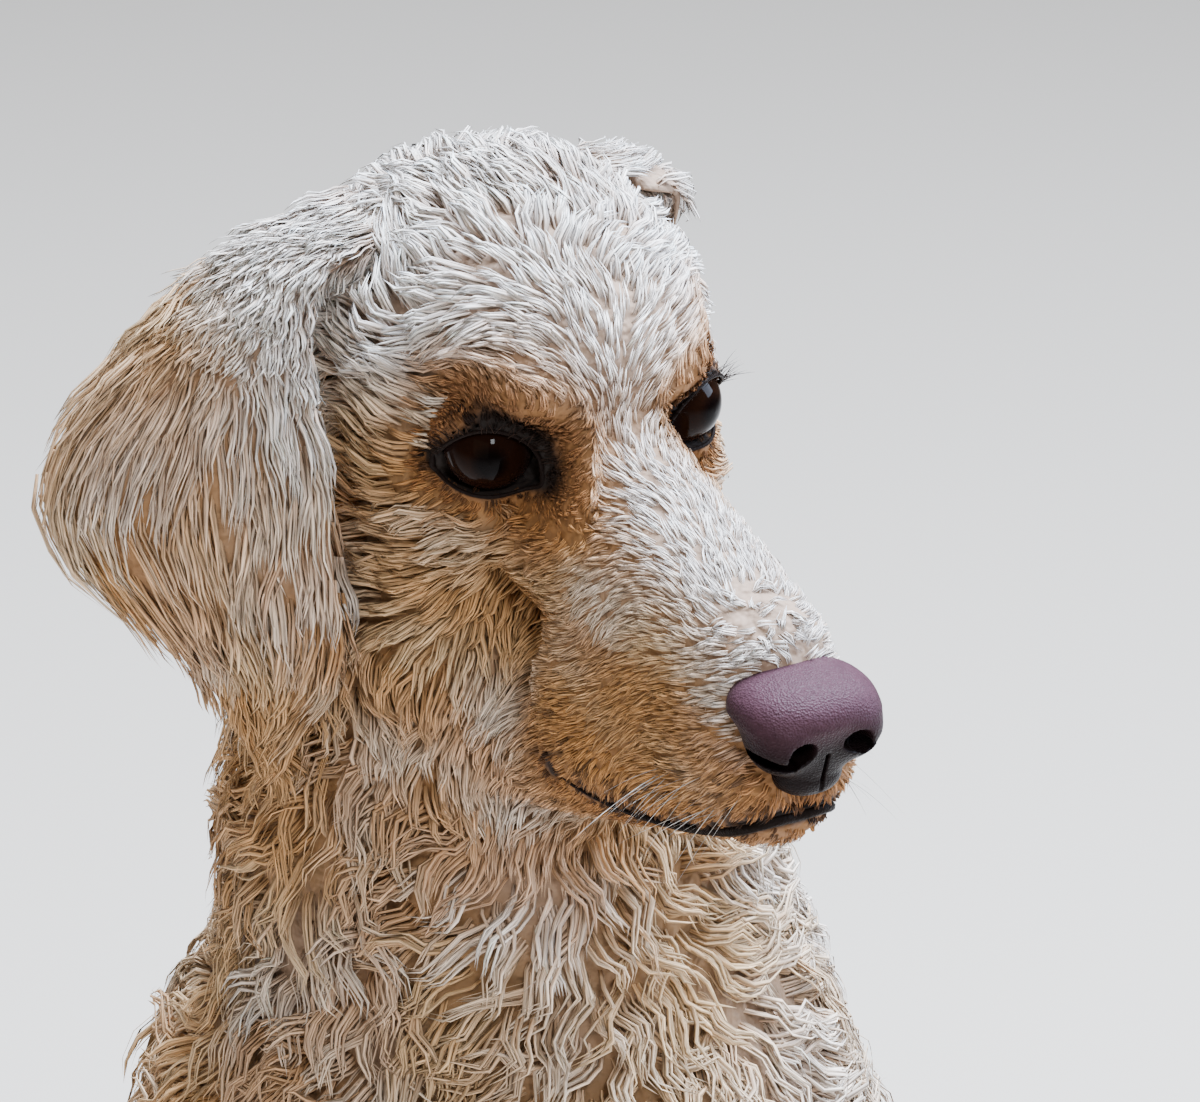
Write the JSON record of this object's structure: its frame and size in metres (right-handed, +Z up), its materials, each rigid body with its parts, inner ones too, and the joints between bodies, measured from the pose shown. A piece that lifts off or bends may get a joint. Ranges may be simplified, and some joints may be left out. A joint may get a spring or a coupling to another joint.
{
  "type": "standard poodle",
  "caption": "Life-size still model of a sitting standard poodle with a curly cream coat, its head turned to its left.",
  "frame": {"origin": "middle of the base of the bounding box, on the floor that the dog sits on", "axes": "+Z is up, -Y is the way that the chest faces, +X is the dog's left"},
  "size_m": [0.318, 0.7078, 0.7981],
  "materials": {
    "coat": "curly cream and apricot hair, short on the head",
    "nose": "moist, pebbled liver-brown skin",
    "eye": "wet, very dark brown",
    "claw": "smooth horn, greyish brown"
  },
  "bodies": {
    "root": {"claw_front_left_1": "claw", "claw_front_left_2": "claw", "claw_front_left_3": "claw", "claw_front_left_4": "claw", "claw_front_right_1": "claw", "claw_front_right_2": "claw", "claw_front_right_3": "claw", "claw_front_right_4": "claw", "claw_hind_left_1": "claw", "claw_hind_left_2": "claw", "claw_hind_left_3": "claw", "claw_hind_left_4": "claw", "claw_hind_right_1": "claw", "claw_hind_right_2": "claw", "claw_hind_right_3": "claw", "claw_hind_right_4": "claw", "ear_left": "coat", "ear_right": "coat", "eye_left": "eye", "eye_right": "eye", "foreleg_left": "coat", "foreleg_right": "coat", "forepaw_left": "coat", "forepaw_right": "coat", "head": "coat", "hindpaw_left": "coat", "hindpaw_right": "coat", "hock_left": "coat", "hock_right": "coat", "neck": "coat", "nose": "nose", "shank_left": "coat", "shank_right": "coat", "tail": "coat", "thigh_left": "coat", "thigh_right": "coat", "torso": "coat"}
  },
  "joints": []
}
